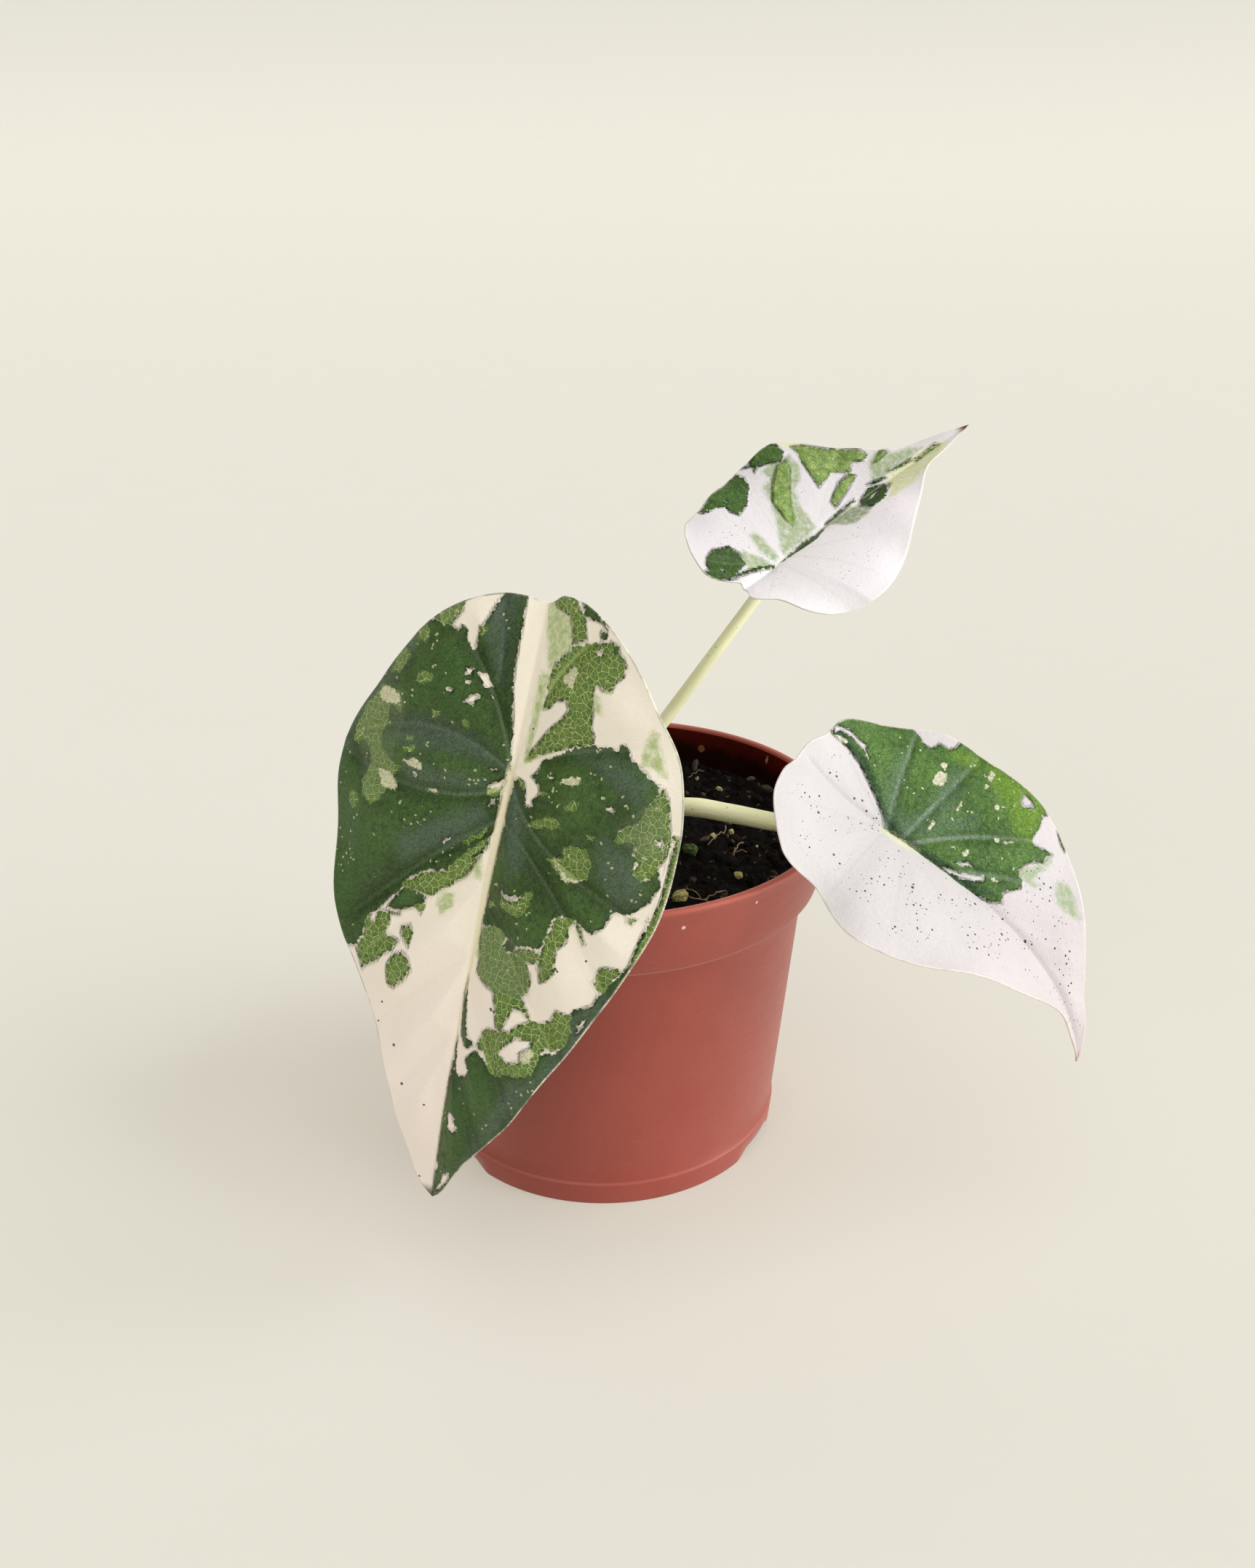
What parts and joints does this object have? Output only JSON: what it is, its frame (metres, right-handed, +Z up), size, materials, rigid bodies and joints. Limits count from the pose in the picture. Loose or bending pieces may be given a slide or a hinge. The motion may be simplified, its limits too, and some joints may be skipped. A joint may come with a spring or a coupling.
{
  "type": "potted albo maharani alocasia",
  "caption": "Young alocasia with leathery heart-shaped leaves in dark green, grey-green and cream on bare stalks, growing in a thin terracotta-coloured nursery pot.",
  "frame": {"origin": "centre of the pot's underside, on the surface that it stands on", "axes": "+Z up along the pot's axis, -Y towards the plant's front, the side that its largest leaf hangs down"},
  "size_m": [0.1796, 0.147, 0.179],
  "materials": {
    "pot_plastic": "thin moulded plastic, satin, terracotta red with faint scuffs",
    "potting_mix": "damp dark peat with fibres, bark crumbs and pale grains",
    "rhizome_skin": "brown and pale green skin with ringed leaf scars",
    "petiole_skin": "smooth pale green, streaked pink and darker green",
    "leaf_variegated": "leathery, quilted between sunken veins, in dark green, netted grey-green and cream"
  },
  "bodies": {
    "root": {"nursery_pot": "pot_plastic", "potting_soil": "potting_mix", "rhizome": "rhizome_skin", "petiole_front": "petiole_skin", "leaf_blade_front": "leaf_variegated", "petiole_back": "petiole_skin", "leaf_blade_back": "leaf_variegated", "petiole_right": "petiole_skin", "leaf_blade_right": "leaf_variegated"}
  },
  "joints": []
}
